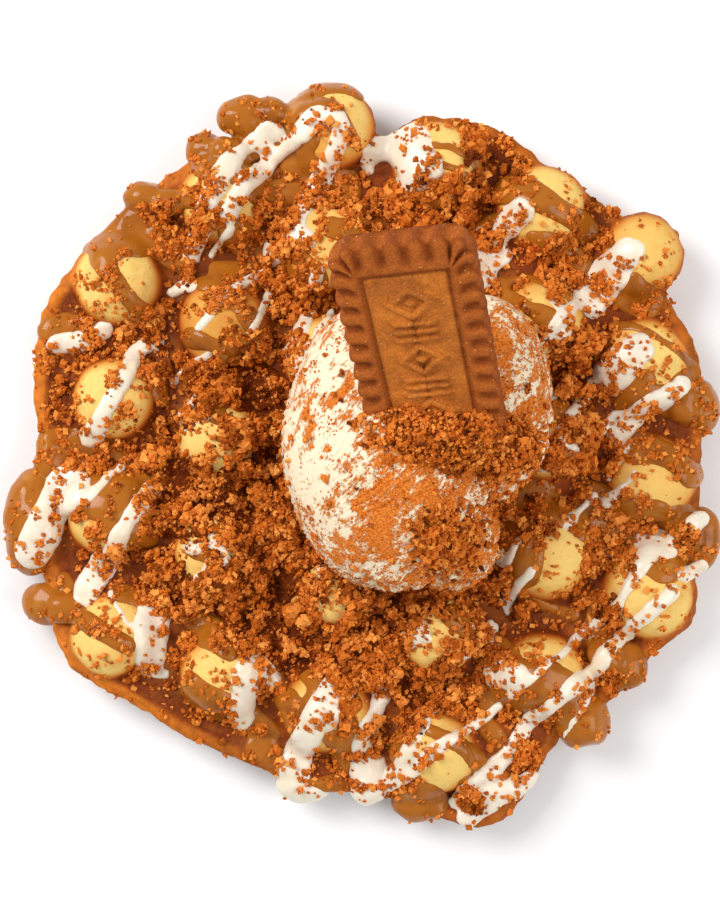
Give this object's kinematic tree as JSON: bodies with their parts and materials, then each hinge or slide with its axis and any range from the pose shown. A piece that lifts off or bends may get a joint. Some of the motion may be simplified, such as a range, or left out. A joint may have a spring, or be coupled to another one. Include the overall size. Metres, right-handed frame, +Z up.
{
  "type": "bubble waffle",
  "caption": "Round waffle of domed bubbles on a thin web, draped with caramel and icing, strewn with crumbs, with a scoop of cream and a biscuit stuck in it.",
  "frame": {"origin": "middle of the footprint, on the table", "axes": "+Z up; +Y is away from the viewer, the way the biscuit's free end leans; +X is to the viewer's right"},
  "size_m": [0.1786, 0.1848, 0.0842],
  "materials": {
    "baked_waffle": "baked batter, pale yellow on the domes and brown in the web",
    "cream": "soft matte cream dusted with fine crumbs",
    "spiced_biscuit": "dry baked biscuit",
    "caramel": "glossy poured caramel sauce",
    "icing": "glossy white icing",
    "crumbs": "dry crushed biscuit"
  },
  "bodies": {
    "root": {"waffle": "baked_waffle", "cream_scoop": "cream", "biscuit": "spiced_biscuit"}
  },
  "joints": []
}
